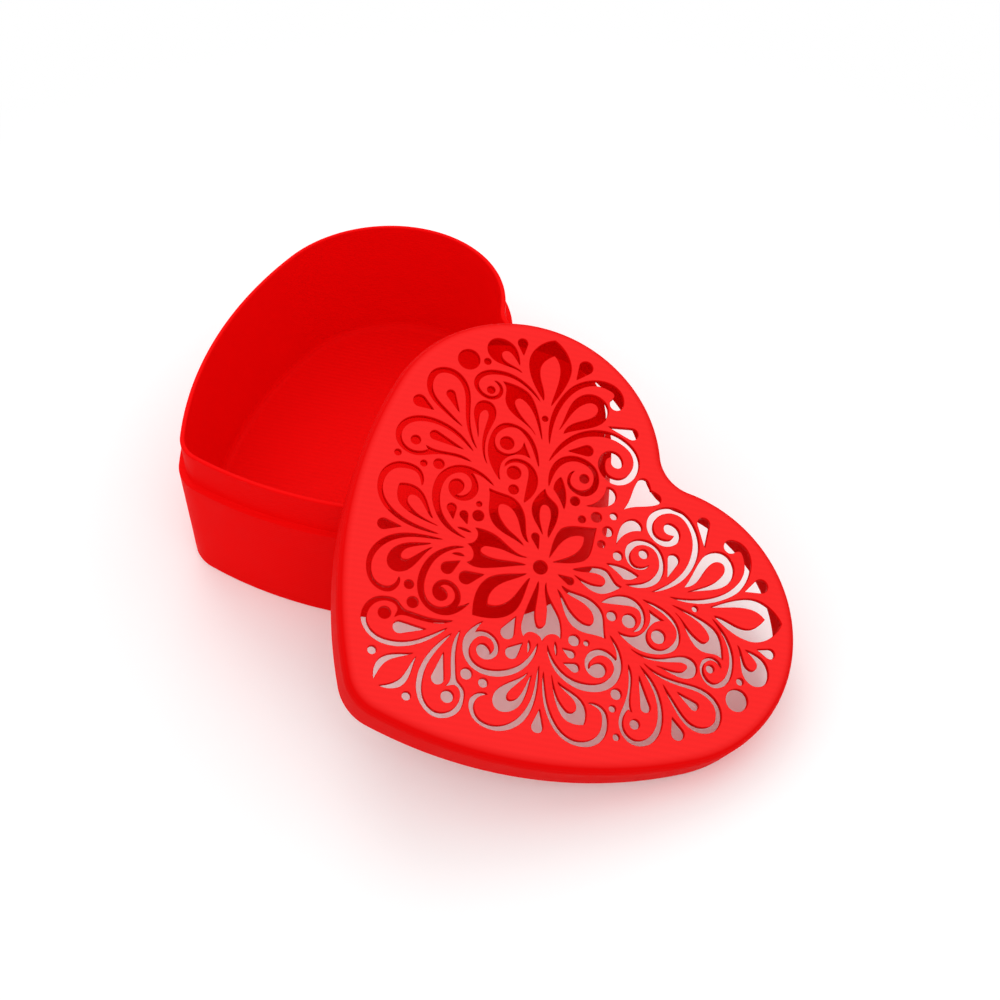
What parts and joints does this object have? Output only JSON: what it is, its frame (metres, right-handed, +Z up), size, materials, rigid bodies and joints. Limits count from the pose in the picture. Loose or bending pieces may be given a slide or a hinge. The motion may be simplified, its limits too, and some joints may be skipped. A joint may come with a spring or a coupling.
{
  "type": "heart-shaped gift box",
  "caption": "Heart-shaped plastic gift box: an open base with a set-in lip, and a lift-off lid, pierced with scrolls and petals, that leans on the rim of the base.",
  "frame": {"origin": "on the floor, under the middle of the base's footprint", "axes": "+Z up, +X across the lobes towards the leaning lid, +Y towards the notch between the lobes"},
  "size_m": [0.1529, 0.0956, 0.0494],
  "materials": {
    "base_plastic": "satin, printed in layers",
    "lid_plastic": "satin, printed in layers"
  },
  "bodies": {
    "base": {"heart_base": "base_plastic"},
    "lid": {"lid_rim": "lid_plastic", "filigree_panel": "lid_plastic"}
  },
  "joints": [
    {"name": "lid_lift", "type": "slide", "parent": "base", "child": "lid", "axis": [0, 0, 1], "range_m": [0, 0.06]}
  ]
}
